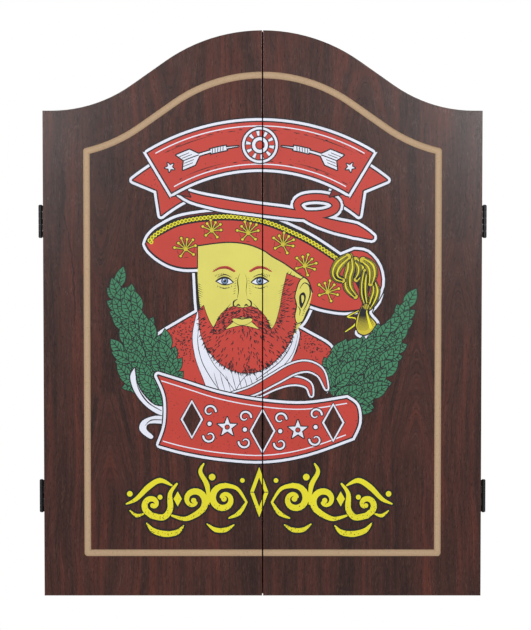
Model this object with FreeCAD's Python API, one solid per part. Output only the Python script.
"""Arch-topped dart board cabinet with two doors, a round board on a hook and six stored darts.

Frame: +Z up, +X to the right of a player facing the cabinet, and the wall is the plane Y = 0,
so every depth in front of the wall is a negative Y. The origin is the bull's centre projected
onto the wall, which is also the centre of the four wall screw holes. Units are millimetres.
"""
import FreeCAD, Part
import math
import os

Vector = FreeCAD.Vector

# ---- driving dimensions -------------------------------------------------------------------
HALF_WIDTH = 260.0          # half the width over the side panels
BELOW_BULL = 290.0          # bull's centre down to the underside
SHOULDER_HEIGHT = 576.5     # underside up to the outer ends of the arch
SHOULDER_FLAT = 10.0        # level stretch at each end of the arch
ARCH_RISE = 94.5
CROWN_RADIUS = 200.0        # convex arc in the middle of the arch
SHOULDER_RADIUS = 165.0     # concave arc towards each end of the arch

CASE_DEPTH = 88.0           # wall to the front edges of the carcass
BACK_THICKNESS = 9.0
PANEL_THICKNESS = 12.0      # sides, bottom and doors
TOP_THICKNESS = 8.0         # bent top

DOOR_GAP = 1.2              # between the two doors
EDGE_RADIUS = 0.8           # softened edges of the foil-wrapped board
GROOVE_FROM_SIDE = 51.8     # outline to the middle of the routed groove
GROOVE_FROM_BOTTOM = 51.4
GROOVE_FROM_ARCH = 52.6     # at the crown
GROOVE_ARCH_INSET = 18.0    # share of that taken along the arch's normal, the rest straight down
GROOVE_WIDTH = 8.0
GROOVE_DEPTH = 3.0

HINGE_LENGTH = 38.0
HINGE_HEIGHTS = {"upper": 446.0, "lower": 118.0}   # hinge centres above the underside
KNUCKLE_COUNT = 5
KNUCKLE_RADIUS = 2.5
KNUCKLE_GAP = 0.2
PIN_RADIUS = 1.5
PIN_CLEARANCE = 0.05
PIN_OUTBOARD = 4.3          # hinge pin outside the side panel's face
LEAF_THICKNESS = 1.0
LEAF_GAP = 0.2
LEAF_REACH = 11.4           # leaf's cover over the panel's edge

BOARD_RADIUS = 225.5
BOARD_THICKNESS = 38.0
BACKING_THICKNESS = 10.0
BAND_THICKNESS = 0.8
BOARD_STANDOFF = 6.0        # back panel to the back of the board
WIRE = 1.2                  # spider wire, square
BULL_RADII = (6.35, 15.9)
TREBLE_RADII = (99.0, 107.0)
DOUBLE_RADII = (162.0, 170.0)
SEGMENTS = 20
NUMBER_RING_RADIUS = 214.0
NUMBER_WIRE_RADIUS = 1.4
NUMBER_RING_LIFT = 3.0      # board face to the middle of the number ring's wire

DART_SPACING = 30.0
FIRST_DART_X = 222.0        # outermost dart, from the middle of the cabinet
DART_FROM_DOOR = 16.0
DART_SHOULDER = 68.3        # underside up to the shoulder a stored dart rests on
DART_COUNT = 3              # per door

WALL_HOLE_SPACING = 406.4
WALL_HOLE_RADIUS = 2.75
FIT_GAP = 0.3               # room between pieces that move past each other

# ---- derived planes -----------------------------------------------------------------------
BOTTOM = -BELOW_BULL
SHOULDER = BOTTOM + SHOULDER_HEIGHT
CROWN = SHOULDER + ARCH_RISE
INNER_HALF = HALF_WIDTH - PANEL_THICKNESS
FLOOR = BOTTOM + PANEL_THICKNESS                      # top of the bottom panel
PIN_X = -(HALF_WIDTH + PIN_OUTBOARD)
PIN_Y = -(CASE_DEPTH + LEAF_THICKNESS + LEAF_GAP / 2)
DOOR_BACK = -(CASE_DEPTH + 2 * LEAF_THICKNESS + LEAF_GAP)
DOOR_FRONT = DOOR_BACK - PANEL_THICKNESS
BOARD_BACK = -(BACK_THICKNESS + BOARD_STANDOFF)
BOARD_FRONT = BOARD_BACK - BOARD_THICKNESS
RING_Y = BOARD_FRONT - NUMBER_RING_LIFT

X_AXIS, Y_AXIS, Z_AXIS = Vector(1, 0, 0), Vector(0, 1, 0), Vector(0, 0, 1)
ORIGIN = Vector(0, 0, 0)


# ---- general shapes -----------------------------------------------------------------------
def box(x0, x1, y0, y1, z0, z1):
    return Part.makeBox(x1 - x0, y1 - y0, z1 - z0, Vector(x0, y0, z0))


def rod(radius, length, start, direction):
    return Part.makeCylinder(radius, length, start, direction)


def prism(points, start, end):
    """Straight-edged outline given as (x, z), drawn at Y = start and run to Y = end."""
    corners = [Vector(x, start, z) for x, z in points]
    face = Part.Face(Part.makePolygon(corners + corners[:1]))
    return face.extrude(Vector(0, end - start, 0))


def revolved(profile, base, axis):
    """Turned solid: profile is (radius, distance along axis) from base."""
    side = X_AXIS if abs(axis.dot(X_AXIS)) < 0.5 else Y_AXIS
    points = [base + side * r + axis * s for r, s in profile]
    face = Part.Face(Part.makePolygon(points + points[:1]))
    return face.revolve(base, axis, 360)


def mirrored(shape):
    return shape.mirror(ORIGIN, X_AXIS)


def both_sides(shape):
    """A left-hand shape and its right-hand twin."""
    return {"left": shape, "right": mirrored(shape)}


def holes_for(body, cutters):
    return body.cut(Part.makeCompound(cutters)) if cutters else body


def countersunk_screw(point, direction, head_radius, shank_radius, length):
    """Screw whose flat head lies at point; returns (screw with a cross recess, plain body)."""
    sink = head_radius - shank_radius
    profile = [(0, 0), (head_radius, 0), (shank_radius, sink),
               (shank_radius, length - 2 * shank_radius), (0, length)]
    plain = revolved(profile, point, direction)
    side = X_AXIS if abs(direction.dot(X_AXIS)) < 0.5 else Y_AXIS
    up = direction.cross(side)
    half, slot = head_radius * 0.55, head_radius * 0.12
    depth = sink * 0.7
    recess = []
    for along, across in ((side, up), (up, side)):
        corner = point - along * half - across * slot - direction
        points = [corner, corner + along * 2 * half,
                  corner + along * 2 * half + across * 2 * slot, corner + across * 2 * slot]
        face = Part.Face(Part.makePolygon(points + points[:1]))
        recess.append(face.extrude(direction * (1 + depth)))
    return plain.cut(Part.makeCompound(recess)), plain


# ---- arched outline -----------------------------------------------------------------------
def arch_tangents():
    """Centres of the crown and right shoulder arcs, and the angle of their common tangent's normal."""
    crown_centre = Vector(0, 0, CROWN - CROWN_RADIUS)
    shoulder_centre = Vector(HALF_WIDTH - SHOULDER_FLAT, 0, SHOULDER + SHOULDER_RADIUS)
    across = shoulder_centre - crown_centre
    lean = math.atan2(across.z, across.x)
    turn = math.acos((CROWN_RADIUS + SHOULDER_RADIUS) / across.Length)
    return crown_centre, shoulder_centre, lean + turn


def polar(centre, radius, angle):
    return centre + Vector(radius * math.cos(angle), 0, radius * math.sin(angle))


def right_arch(inset=0.0, drop=0.0, end_x=HALF_WIDTH):
    """Arch from the middle to end_x, moved in along its normal by inset and straight down by drop."""
    crown_centre, shoulder_centre, angle = arch_tangents()
    down = Vector(0, 0, -drop)
    crown_centre, shoulder_centre = crown_centre + down, shoulder_centre + down
    crown, shoulder = CROWN_RADIUS - inset, SHOULDER_RADIUS + inset
    crown_end = polar(crown_centre, crown, angle)
    shoulder_start = polar(shoulder_centre, shoulder, angle + math.pi)
    last = 1.5 * math.pi - math.asin(max(0.0, shoulder_centre.x - end_x) / shoulder)
    middle = (angle + math.pi + last) / 2
    edges = [
        Part.Arc(polar(crown_centre, crown, math.pi / 2),
                 polar(crown_centre, crown, (math.pi / 2 + angle) / 2), crown_end).toShape(),
        Part.LineSegment(crown_end, shoulder_start).toShape(),
        Part.Arc(shoulder_start, polar(shoulder_centre, shoulder, middle),
                 polar(shoulder_centre, shoulder, last)).toShape(),
    ]
    if end_x > shoulder_centre.x:
        low = polar(shoulder_centre, shoulder, last)
        edges.append(Part.LineSegment(low, Vector(end_x, 0, low.z)).toShape())
    return edges


def arched_slab(y_front, y_back, inset=0.0):
    """Full-width slab with the arched top, inset at the arch only."""
    right = right_arch(inset)
    left = [mirrored(edge) for edge in right]
    shoulder = SHOULDER - inset
    corners = [Vector(HALF_WIDTH, 0, shoulder), Vector(HALF_WIDTH, 0, BOTTOM),
               Vector(-HALF_WIDTH, 0, BOTTOM), Vector(-HALF_WIDTH, 0, shoulder)]
    straights = [Part.LineSegment(a, b).toShape() for a, b in zip(corners, corners[1:])]
    wire = Part.Wire(Part.sortEdges(right + straights + left)[0])
    face = Part.Face(wire)
    face.translate(Vector(0, y_front, 0))
    return face.extrude(Vector(0, y_back - y_front, 0))


def soften(shape, picks, radius=EDGE_RADIUS):
    """Rounds the edges that picks accepts."""
    return shape.makeFillet(radius, [edge for edge in shape.Edges if picks(edge)])


def edges_at_y(y):
    return lambda edge: all(abs(v.Point.y - y) < 1e-6 for v in edge.Vertexes)


# ---- doors --------------------------------------------------------------------------------
def groove_cutter():
    """Ball-nosed router path of the left door, run past the meeting edge."""
    ball = (GROOVE_WIDTH ** 2 / 4 + GROOVE_DEPTH ** 2) / (2 * GROOVE_DEPTH)
    centre_y = DOOR_FRONT - (ball - GROOVE_DEPTH)
    run_past = 2.0
    side_x = HALF_WIDTH - GROOVE_FROM_SIDE
    low_z = BOTTOM + GROOVE_FROM_BOTTOM
    top_z = CROWN - GROOVE_FROM_ARCH
    right = right_arch(GROOVE_ARCH_INSET, GROOVE_FROM_ARCH - GROOVE_ARCH_INSET, side_x)
    crown, slope, shoulder = [mirrored(edge) for edge in right]
    for edge in (crown, slope, shoulder):
        edge.translate(Vector(0, centre_y, 0))
    top_corner = min((v.Point for v in shoulder.Vertexes), key=lambda p: p.x)
    low_corner = Vector(-side_x, centre_y, low_z)

    def around(edge):
        """Round tool along one edge of the path."""
        start = edge.valueAt(edge.FirstParameter)
        heading = edge.tangentAt(edge.FirstParameter)
        disc = Part.Face(Part.Wire(Part.makeCircle(ball, start, heading)))
        if isinstance(edge.Curve, Part.Line):
            return disc.extrude(edge.valueAt(edge.LastParameter) - start)
        turn = math.degrees(edge.LastParameter - edge.FirstParameter)
        return disc.revolve(edge.Curve.Center, edge.Curve.Axis, turn)

    straights = [
        Part.LineSegment(top_corner, low_corner).toShape(),
        Part.LineSegment(low_corner, Vector(run_past, centre_y, low_z)).toShape(),
        Part.LineSegment(Vector(0, centre_y, top_z), Vector(run_past, centre_y, top_z)).toShape(),
    ]
    tools = [around(edge) for edge in (crown, slope, shoulder, *straights)]
    tools += [Part.makeSphere(ball, corner) for corner in (top_corner, low_corner)]
    return tools


def door_panel(cutters):
    meeting = -DOOR_GAP / 2
    slab = arched_slab(DOOR_FRONT, DOOR_BACK)
    door = slab.common(box(-HALF_WIDTH - 1, meeting, DOOR_FRONT - 1, DOOR_BACK + 1, BOTTOM - 1, CROWN + 1))
    door = soften(door, edges_at_y(DOOR_FRONT))
    for tool in groove_cutter():
        door = door.cut(tool)
    return holes_for(door, cutters)


SCORE_OUTER_X, SCORE_INNER_X = -236.0, -10.0
SCORE_LOW, SCORE_HIGH = BOTTOM + 186.0, BOTTOM + 536.0
SCORE_THICKNESS = 2.0


def scoreboard():
    """Chalkboard on the inside of the door, held by four screws near its corners."""
    face_y = DOOR_BACK + SCORE_THICKNESS
    panel = box(SCORE_OUTER_X, SCORE_INNER_X, DOOR_BACK, face_y, SCORE_LOW, SCORE_HIGH)
    panel = soften(panel, lambda e: abs(e.tangentAt(0).y) > 0.9, 6.0)
    margin = 9.0
    screws = [countersunk_screw(Vector(x, face_y, z), -Y_AXIS, 3.0, 1.3, 10.0)
              for x in (SCORE_OUTER_X + margin, SCORE_INNER_X - margin)
              for z in (SCORE_LOW + margin, SCORE_HIGH - margin)]
    return holes_for(panel, [plain for _, plain in screws]), screws


HOLDER_DEPTH = 26.0
HOLDER_HEIGHT = 14.0
DART_NECK_RADIUS = 2.8
DART_NECK_LENGTH = 8.0


def dart_places():
    y = DOOR_BACK + DART_FROM_DOOR
    z = BOTTOM + DART_SHOULDER
    return [Vector(-FIRST_DART_X + DART_SPACING * i, y, z) for i in range(DART_COUNT)]


def dart_holder():
    """Wooden rack with one hole per dart, screwed on through its front."""
    places = dart_places()
    end = 18.0
    top = places[0].z - FIT_GAP
    y_front = DOOR_BACK + HOLDER_DEPTH
    x0, x1 = places[0].x - end, places[-1].x + end - 1.0
    rack = box(x0, x1, DOOR_BACK, y_front, top - HOLDER_HEIGHT, top)
    rack = soften(rack, lambda e: abs(e.tangentAt(0).z) > 0.9 and e.Vertexes[0].Y > DOOR_BACK + 1, 5.0)
    rack = soften(rack, lambda e: e.BoundBox.YMax > DOOR_BACK + 1 and abs(e.BoundBox.ZMin - top) < 1e-6
                  and e.BoundBox.ZLength < 1e-6, 1.2)
    under = Vector(0, 0, -HOLDER_HEIGHT - 1 - FIT_GAP)
    bores = [rod(DART_NECK_RADIUS + FIT_GAP, HOLDER_HEIGHT + 2, p + under, Z_AXIS) for p in places]
    middle_z = top - HOLDER_HEIGHT / 2
    middles = [Vector((a.x + b.x) / 2, y_front, middle_z) for a, b in zip(places, places[1:])]
    screws = [countersunk_screw(middle, -Y_AXIS, 3.6, 1.7, HOLDER_DEPTH + 6) for middle in middles]
    return holes_for(rack, bores + [plain for _, plain in screws]), screws


# ---- darts --------------------------------------------------------------------------------
POINT_LENGTH = 36.0
POINT_RADIUS = 1.15
BARREL_LENGTH = 48.0
BARREL_RADIUS = 3.7
SHAFT_LENGTH = 62.0
SHAFT_RADIUS = 2.5
FLIGHT_LENGTH = 41.0
FLIGHT_RADIUS = 17.0
FLIGHT_THICKNESS = 0.5


def dart(place):
    """Point, grooved barrel, shaft and four-winged flight, standing point down at place."""
    neck = Vector(place.x, place.y, place.z - DART_NECK_LENGTH)
    point = revolved([(0, 0), (POINT_RADIUS, 0), (POINT_RADIUS, POINT_LENGTH - 7), (0.15, POINT_LENGTH),
                      (0, POINT_LENGTH)], neck, -Z_AXIS)
    groove_pitch, groove_depth, grooves = 3.2, 0.4, 9
    profile = [(0, 0), (DART_NECK_RADIUS, 0), (DART_NECK_RADIUS, DART_NECK_LENGTH),
               (BARREL_RADIUS, DART_NECK_LENGTH)]
    for i in range(grooves):
        s = DART_NECK_LENGTH + 5 + groove_pitch * i
        profile += [(BARREL_RADIUS, s), (BARREL_RADIUS - groove_depth, s + 0.4),
                    (BARREL_RADIUS - groove_depth, s + 1.4), (BARREL_RADIUS, s + 1.8)]
    profile += [(BARREL_RADIUS, BARREL_LENGTH - 4), (SHAFT_RADIUS + 0.4, BARREL_LENGTH)]
    profile.append((0, BARREL_LENGTH))
    barrel = revolved(profile, neck, Z_AXIS)
    base = neck + Z_AXIS * BARREL_LENGTH
    shaft = revolved([(0, 0), (SHAFT_RADIUS, 0), (SHAFT_RADIUS, 8), (SHAFT_RADIUS - 0.6, 12),
                      (SHAFT_RADIUS - 0.6, SHAFT_LENGTH - 14), (SHAFT_RADIUS, SHAFT_LENGTH - 12),
                      (SHAFT_RADIUS, SHAFT_LENGTH - 1), (SHAFT_RADIUS - 1, SHAFT_LENGTH),
                      (0, SHAFT_LENGTH)],
                     base, Z_AXIS)
    flight = dart_flight(base + Z_AXIS * (SHAFT_LENGTH - 14))
    return Part.makeCompound([point, barrel, shaft.cut(flight), flight])


def dart_flight(base):
    """Four wings in a cross, turned so that no wing points straight at the door."""
    wing = [(0, 0), (2.6, 0), (FLIGHT_RADIUS, 19), (FLIGHT_RADIUS, 34),
            (FLIGHT_RADIUS - 3.5, FLIGHT_LENGTH), (0, FLIGHT_LENGTH)]
    outline = wing + [(-r, s) for r, s in reversed(wing[1:-1])]
    blade = prism(outline, -FLIGHT_THICKNESS / 2, FLIGHT_THICKNESS / 2)
    crossed = blade.copy()
    crossed.rotate(ORIGIN, Z_AXIS, 90)
    cross = blade.fuse(crossed)
    cross.rotate(ORIGIN, Z_AXIS, 45)
    cross.translate(base)
    return cross.Solids[0]


# ---- hinges -------------------------------------------------------------------------------
def hinge(centre_height):
    """One left-hand butt hinge: (case leaf, door leaf, pin, case screws, door screws)."""
    middle = BOTTOM + centre_height
    low = middle - HINGE_LENGTH / 2
    pitch = HINGE_LENGTH / KNUCKLE_COUNT
    axis_low = Vector(PIN_X, PIN_Y, low)
    plate_start = PIN_X + KNUCKLE_RADIUS + FIT_GAP
    plate_end = -HALF_WIDTH + LEAF_REACH

    def leaf(y0, y1, owns, bore):
        plate = box(plate_start, plate_end, y0, y1, low, low + HINGE_LENGTH)
        plate = soften(plate, lambda e: abs(e.tangentAt(0).y) > 0.9
                       and e.Vertexes[0].X > plate_start + 1, 2.0)
        for i in range(owns, KNUCKLE_COUNT, 2):
            z0, z1 = low + pitch * i + KNUCKLE_GAP / 2, low + pitch * (i + 1) - KNUCKLE_GAP / 2
            plate = plate.fuse([rod(KNUCKLE_RADIUS, z1 - z0, Vector(PIN_X, PIN_Y, z0), Z_AXIS),
                                box(PIN_X, plate_start + 0.5, y0, y1, z0, z1)])
        return plate.cut(rod(bore, HINGE_LENGTH, axis_low, Z_AXIS)).removeSplitter()

    case_face, door_face = -CASE_DEPTH - LEAF_THICKNESS, DOOR_BACK + LEAF_THICKNESS
    screw_x = -HALF_WIDTH + PANEL_THICKNESS / 2
    heights = (middle - HINGE_LENGTH * 0.3, middle + HINGE_LENGTH * 0.3)
    case_screws = [countersunk_screw(Vector(screw_x, case_face, z), Y_AXIS, 2.4, 1.2, 14.0)
                   for z in heights]
    door_screws = [countersunk_screw(Vector(screw_x, door_face, z), -Y_AXIS, 2.4, 1.2, 9.0)
                   for z in heights]
    case_leaf = holes_for(leaf(case_face, -CASE_DEPTH, 0, PIN_RADIUS), [plain for _, plain in case_screws])
    door_leaf = holes_for(leaf(DOOR_BACK, door_face, 1, PIN_RADIUS + PIN_CLEARANCE),
                          [plain for _, plain in door_screws])
    head = 0.8
    pin = rod(PIN_RADIUS, HINGE_LENGTH, axis_low, Z_AXIS)
    for z, up in ((low + HINGE_LENGTH, 1), (low, -1)):
        cap = revolved([(0, 0), (KNUCKLE_RADIUS - 0.3, 0), (PIN_RADIUS, head), (0, head)],
                       Vector(PIN_X, PIN_Y, z), Z_AXIS * up)
        pin = pin.fuse(cap)
    return case_leaf, door_leaf, pin.removeSplitter(), case_screws, door_screws


# ---- catches ------------------------------------------------------------------------------
CATCH_X0, CATCH_X1 = -64.0, -18.0
CATCH_HEIGHT = 13.0
CATCH_DEPTH = 16.0
POLE_THICKNESS = 1.2
STRIKE_THICKNESS = 1.2


def catch():
    """Left magnetic catch on the bottom panel, with its strike plate on the door."""
    front = -CASE_DEPTH + 0.5
    back = front + CATCH_DEPTH
    low, high = FLOOR, FLOOR + CATCH_HEIGHT
    inner0, inner1 = CATCH_X0 + 10.0, CATCH_X1 - 10.0
    housing = box(inner0, inner1, front, back, low, high)
    housing = soften(housing, lambda e: e.BoundBox.ZMin > low + 1 and e.BoundBox.YLength < 1e-6
                     and e.Vertexes[0].Y > front + 1, 1.0)
    ears = box(CATCH_X0, CATCH_X1, front + 4, back - 4, low, low + 2.5)
    ears = soften(ears, lambda e: abs(e.tangentAt(0).z) > 0.9, 3.5)
    housing = housing.fuse(ears).removeSplitter()
    middle_y = (front + back) / 2
    screws = [countersunk_screw(Vector(x, middle_y, low + 2.5), -Z_AXIS, 2.6, 1.3, 11.0)
              for x in (CATCH_X0 + 4.5, CATCH_X1 - 4.5)]
    pole_front = DOOR_BACK + STRIKE_THICKNESS + FIT_GAP
    poles = [box(inner0 + 3, inner1 - 3, pole_front, back - 3, z, z + POLE_THICKNESS)
             for z in (low + 3.0, high - 3.0 - POLE_THICKNESS)]
    magnet = box(inner0 + 3, inner1 - 3, front + 1.5, back - 3,
                 low + 3.0 + POLE_THICKNESS, high - 3.0 - POLE_THICKNESS)
    housing = holes_for(housing, [plain for _, plain in screws] + poles + [magnet])
    housing = housing.cut(box(inner0 + 3, inner1 - 3, front - 1, front + 1.5, low + 3.0, high - 3.0))
    strike = box(inner0, inner1, DOOR_BACK, DOOR_BACK + STRIKE_THICKNESS, low + 1, high - 1)
    strike = soften(strike, lambda e: abs(e.tangentAt(0).y) > 0.9, 2.0)
    strike_screw = countersunk_screw(Vector((inner0 + inner1) / 2, DOOR_BACK + STRIKE_THICKNESS,
                                            (low + high) / 2), -Y_AXIS, 2.6, 1.3, 9.0)
    strike = strike.cut(strike_screw[1])
    return housing, poles, magnet, screws, strike, strike_screw


# ---- dart board ---------------------------------------------------------------------------
def disc(radius, y_front, y_back):
    return rod(radius, y_back - y_front, Vector(0, y_front, 0), Y_AXIS)


def spider():
    """Ring wires and radial wires as one grid lying on the board's face."""
    def ring(radius):
        return disc(radius + WIRE / 2, BOARD_FRONT - WIRE, BOARD_FRONT).cut(
            disc(radius - WIRE / 2, BOARD_FRONT - WIRE - 1, BOARD_FRONT + 1))

    rings = [ring(r) for r in (*BULL_RADII, *TREBLE_RADII, *DOUBLE_RADII)]
    step = 360.0 / SEGMENTS
    radials = []
    for i in range(SEGMENTS):
        wire = box(-WIRE / 2, WIRE / 2, BOARD_FRONT - WIRE, BOARD_FRONT,
                   BULL_RADII[1], DOUBLE_RADII[1] + 8)
        wire.rotate(ORIGIN, Y_AXIS, step * (i + 0.5))
        radials.append(wire)
    grid = rings[1].fuse(rings[2:] + radials).removeSplitter()
    return Part.makeCompound([rings[0], grid])


CLIP_WIRE_RADIUS = 0.8
CLIP_BEND = 1.6
CLIP_REACH = 3.0            # clip's leg outside the number ring's wire
CLIP_NOSE = 1.5             # clip's nose past the wire, towards the bull
CLIP_LEG = 10.0


def ring_clips():
    """Four wire hooks that hold the number ring from outside and leave it free to turn."""
    nose_y = RING_Y - NUMBER_WIRE_RADIUS - FIT_GAP - CLIP_WIRE_RADIUS
    leg_z = NUMBER_RING_RADIUS + CLIP_REACH
    leg_top = Vector(0, nose_y + CLIP_BEND, leg_z)
    bend_centre = leg_top - Z_AXIS * CLIP_BEND
    nose_start = Vector(0, nose_y, leg_z - CLIP_BEND)
    nose_length = nose_start.z - (NUMBER_RING_RADIUS - CLIP_NOSE)
    section = Part.Face(Part.Wire(Part.makeCircle(CLIP_WIRE_RADIUS, leg_top, Y_AXIS)))
    bend = section.revolve(bend_centre, X_AXIS, 90)
    leg = rod(CLIP_WIRE_RADIUS, CLIP_LEG, leg_top, Y_AXIS)
    hook = leg.fuse([bend, rod(CLIP_WIRE_RADIUS, nose_length, nose_start, -Z_AXIS)]).removeSplitter()
    hooks, holes = [], []
    for i in range(4):
        for shape, made in ((hook, hooks), (leg, holes)):
            twin = shape.copy()
            twin.rotate(ORIGIN, Y_AXIS, 45 + 90 * i)
            made.append(twin)
    return hooks, holes


BOLT_RADIUS = 3.0
BOLT_HEAD_RADIUS = 6.5
BOLT_HEAD = 2.2
BOLT_DEPTH = 9.0            # into the board
BRACKET_METAL = 1.5
BRACKET_TOP = 14.0          # open end of the hook's slot above the bull's centre


def hanger_bolt():
    """Round-headed bolt in the back of the board; its head sits behind the bracket."""
    head_front = BOARD_BACK + 2 * FIT_GAP + BRACKET_METAL + FIT_GAP
    shank_tip = BOARD_BACK - BOLT_DEPTH
    shank = rod(BOLT_RADIUS, head_front - shank_tip, Vector(0, shank_tip, 0), Y_AXIS)
    head = revolved([(0, 0), (BOLT_HEAD_RADIUS, 0), (BOLT_HEAD_RADIUS, 0.8), (BOLT_RADIUS, BOLT_HEAD),
                     (0, BOLT_HEAD)], Vector(0, head_front, 0), Y_AXIS)
    return shank.fuse(head).removeSplitter()


def board_bracket():
    """Pressed top-hat bracket with an open slot for the hanger bolt."""
    plate_front = BOARD_BACK + 2 * FIT_GAP
    half, flange, low = 18.0, 34.0, -20.0
    section = [(-flange, -BACK_THICKNESS), (-flange, -BACK_THICKNESS - BRACKET_METAL),
               (-half, -BACK_THICKNESS - BRACKET_METAL), (-half, plate_front), (half, plate_front),
               (half, -BACK_THICKNESS - BRACKET_METAL), (flange, -BACK_THICKNESS - BRACKET_METAL),
               (flange, -BACK_THICKNESS), (half - BRACKET_METAL, -BACK_THICKNESS),
               (half - BRACKET_METAL, plate_front + BRACKET_METAL),
               (-half + BRACKET_METAL, plate_front + BRACKET_METAL),
               (-half + BRACKET_METAL, -BACK_THICKNESS)]
    corners = [Vector(x, y, low) for x, y in section]
    hat = Part.Face(Part.makePolygon(corners + corners[:1])).extrude(Vector(0, 0, BRACKET_TOP - low))
    slot = BOLT_RADIUS + FIT_GAP
    hat = hat.cut([rod(slot, 10, Vector(0, plate_front - 1, 0), Y_AXIS).common(
                       box(-slot, slot, plate_front - 1, plate_front + BRACKET_METAL + 1, -slot, slot)),
                   box(-slot, slot, plate_front - 1, plate_front + BRACKET_METAL + 1, 0, BRACKET_TOP + 1)])
    hat = soften(hat, lambda e: abs(e.tangentAt(0).y) > 0.9 and abs(e.Vertexes[0].X) > flange - 1, 3.0)
    screws = [countersunk_screw(Vector(x, -BACK_THICKNESS - BRACKET_METAL, z), Y_AXIS, 3.0, 1.5, 9.5)
              for x in (-26.5, 26.5) for z in (-13.0, 4.0)]
    return holes_for(hat, [plain for _, plain in screws]), screws


def spacers():
    """Three rubber feet that keep the board upright on its hook."""
    feet = []
    for i in range(3):
        foot = rod(11.0, BOARD_STANDOFF - FIT_GAP, Vector(0, BOARD_BACK, 150.0), Y_AXIS)
        foot = soften(foot, lambda e: e.BoundBox.YMin > BOARD_BACK + 1 and e.BoundBox.YLength < 1e-6, 1.5)
        foot.rotate(ORIGIN, Y_AXIS, 120 * i)
        feet.append(foot)
    return feet


# ---- carcass ------------------------------------------------------------------------------
def dowels():
    """Wooden dowels between the bottom panel and the left side panel."""
    radius, length, in_side = 4.0, 30.0, 9.0
    return [rod(radius, length, Vector(-INNER_HALF - in_side, y, BOTTOM + PANEL_THICKNESS / 2), X_AXIS)
            for y in (-22.0, -48.0, -74.0)]


def top_nails():
    """Nails through the left end of the bent top into the side panel."""
    profile = [(0, 0), (1.6, 0), (1.6, 0.8), (0.8, 0.8), (0.8, 28), (0, 30)]
    return [revolved(profile, Vector(-HALF_WIDTH + PANEL_THICKNESS / 2, y, SHOULDER), -Z_AXIS)
            for y in (-22.0, -48.0, -74.0)]


def back_screws():
    """Screws along the left half of the back panel."""
    edge_x = -HALF_WIDTH + PANEL_THICKNESS / 2
    spots = [(edge_x, BOTTOM + z) for z in (60.0, 210.0, 360.0, 510.0)]
    spots += [(x, BOTTOM + PANEL_THICKNESS / 2) for x in (-180.0, -60.0)]
    return [countersunk_screw(Vector(x, 0, z), -Y_AXIS, 3.4, 1.6, 24.0) for x, z in spots]


def wall_holes():
    half = WALL_HOLE_SPACING / 2
    return [rod(WALL_HOLE_RADIUS, BACK_THICKNESS + 2, Vector(x, -BACK_THICKNESS - 1, z), Y_AXIS)
            for x in (-half, half) for z in (-half, half)]


def bent_top(cutters):
    """Bent sheet that follows the arch, lying on the ends of the side panels."""
    outer = arched_slab(-CASE_DEPTH, -BACK_THICKNESS)
    under = arched_slab(-CASE_DEPTH - 1, -BACK_THICKNESS + 1, inset=TOP_THICKNESS)
    below = box(-HALF_WIDTH - 1, HALF_WIDTH + 1, -CASE_DEPTH - 1, 1,
                BOTTOM - 1, SHOULDER - TOP_THICKNESS - 2)
    return holes_for(outer.cut([under, below]), cutters)


def side_panel(cutters):
    """Left side panel, its upper end shaped to the underside of the bent top."""
    room = arched_slab(-CASE_DEPTH, -BACK_THICKNESS, inset=TOP_THICKNESS)
    panel = room.common(box(-HALF_WIDTH, -INNER_HALF, -CASE_DEPTH, -BACK_THICKNESS, BOTTOM, CROWN))
    panel = soften(panel, lambda e: abs(e.tangentAt(e.FirstParameter).z) > 0.99
                   and abs(e.Vertexes[0].Y + CASE_DEPTH) < 1e-6)
    return holes_for(panel, cutters)


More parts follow.
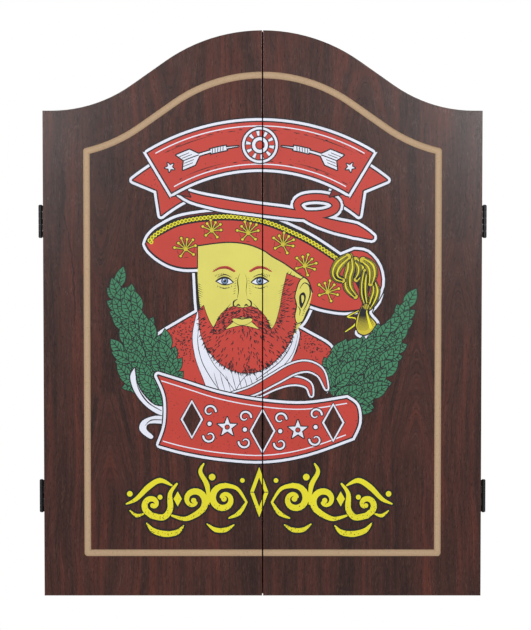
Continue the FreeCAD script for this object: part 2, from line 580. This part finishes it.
# ---- assembly -----------------------------------------------------------------------------
def parts():
    """Every node's shape by name."""
    made = {}

    def group(name, solids):
        made[name] = Part.makeCompound(solids)

    def pair(name, solids):
        """Left and right twins as one group."""
        group(name, [twin for solid in solids for twin in (solid, mirrored(solid))])

    hinges = {place: hinge(height) for place, height in HINGE_HEIGHTS.items()}
    case_screws = [s for h in hinges.values() for s in h[3]]
    door_screws = [s for h in hinges.values() for s in h[4]]
    housing, poles, magnet, catch_screws, strike, strike_screw = catch()
    score, score_screws = scoreboard()
    rack, rack_screws = dart_holder()
    bracket, bracket_screws = board_bracket()
    rear_screws = back_screws()
    pegs, nails = dowels(), top_nails()

    def plain(screws):
        return [body for _, body in screws]

    def twins(solids):
        return solids + [mirrored(s) for s in solids]

    # carcass
    back = holes_for(arched_slab(-BACK_THICKNESS, 0),
                     wall_holes() + plain(bracket_screws) + twins(plain(rear_screws)))
    made["back_panel"] = back
    side = side_panel(pegs + nails + plain(case_screws) + plain(rear_screws))
    bottom = box(-INNER_HALF, INNER_HALF, -CASE_DEPTH, -BACK_THICKNESS, BOTTOM, FLOOR)
    made["bottom_panel"] = holes_for(bottom, twins(pegs + plain(catch_screws) + plain(rear_screws)))
    made["top_panel"] = bent_top(twins(nails))
    pair("panel_dowels", pegs)
    pair("top_panel_nails", nails)
    pair("back_panel_screws", [s for s, _ in rear_screws])
    made["board_bracket"] = bracket
    group("bracket_screws", [s for s, _ in bracket_screws])
    pair("hinge_case_screws", [s for s, _ in case_screws])
    pair("catch_magnets", [magnet])
    pair("catch_pole_plates", poles)
    pair("catch_screws", [s for s, _ in catch_screws])

    # pieces with a left and a right twin
    door = door_panel(plain(door_screws) + plain(score_screws) + plain(rack_screws) + [strike_screw[1]])
    twin_parts = {
        "side_panel": side,
        "catch_housing": housing,
        "door_panel": door,
        "scoreboard": score,
        "scoreboard_screws": Part.makeCompound([s for s, _ in score_screws]),
        "dart_holder": rack,
        "dart_holder_screws": Part.makeCompound([s for s, _ in rack_screws]),
        "strike_plate": strike,
        "strike_screw": strike_screw[0],
        "door_hinge_screws": Part.makeCompound([s for s, _ in door_screws]),
    }
    for place, (case_leaf, door_leaf, pin, _, _) in hinges.items():
        twin_parts[f"{place}_hinge_case_leaf"] = case_leaf
        twin_parts[f"{place}_hinge_door_leaf"] = door_leaf
        twin_parts[f"{place}_hinge_pin"] = pin
    for name, shape in twin_parts.items():
        for hand, twin in both_sides(shape).items():
            made[f"{hand}_{name}"] = twin

    # dart board
    clips, clip_holes = ring_clips()
    core_radius = BOARD_RADIUS - BAND_THICKNESS
    seam = BOARD_BACK - BACKING_THICKNESS
    made["board_sisal"] = holes_for(disc(core_radius, BOARD_FRONT, seam), clip_holes)
    bolt_hole = disc(BOLT_RADIUS, BOARD_BACK - BOLT_DEPTH, BOARD_BACK + 1)
    made["board_backing"] = disc(core_radius, seam, BOARD_BACK).cut(bolt_hole)
    made["board_band"] = disc(BOARD_RADIUS, BOARD_FRONT, BOARD_BACK).cut(
        disc(core_radius, BOARD_FRONT - 1, BOARD_BACK + 1))
    made["board_spider"] = spider()
    group("board_spacers", spacers())
    group("number_ring_clips", clips)
    made["number_ring"] = Part.makeTorus(NUMBER_RING_RADIUS, NUMBER_WIRE_RADIUS, Vector(0, RING_Y, 0),
                                         Y_AXIS)
    made["hanger_bolt"] = hanger_bolt()

    # darts, numbered from the left
    left_darts = [dart(place) for place in dart_places()]
    right_darts = [mirrored(one) for one in reversed(left_darts)]
    for i, one in enumerate(left_darts + right_darts, start=1):
        made[f"dart_{i}"] = one
    return made


def main():
    os.makedirs("parts", exist_ok=True)
    made = parts()
    for name, shape in sorted(made.items()):
        problem = "" if shape.isValid() and shape.Solids else "  NOT VALID"
        print(f"{name}: {len(shape.Solids)} solids, {shape.Volume / 1000:.2f} cm3{problem}")
        shape.exportStep(os.path.join("parts", f"{name}.step"))
    print(f"{len(made)} nodes")


main()
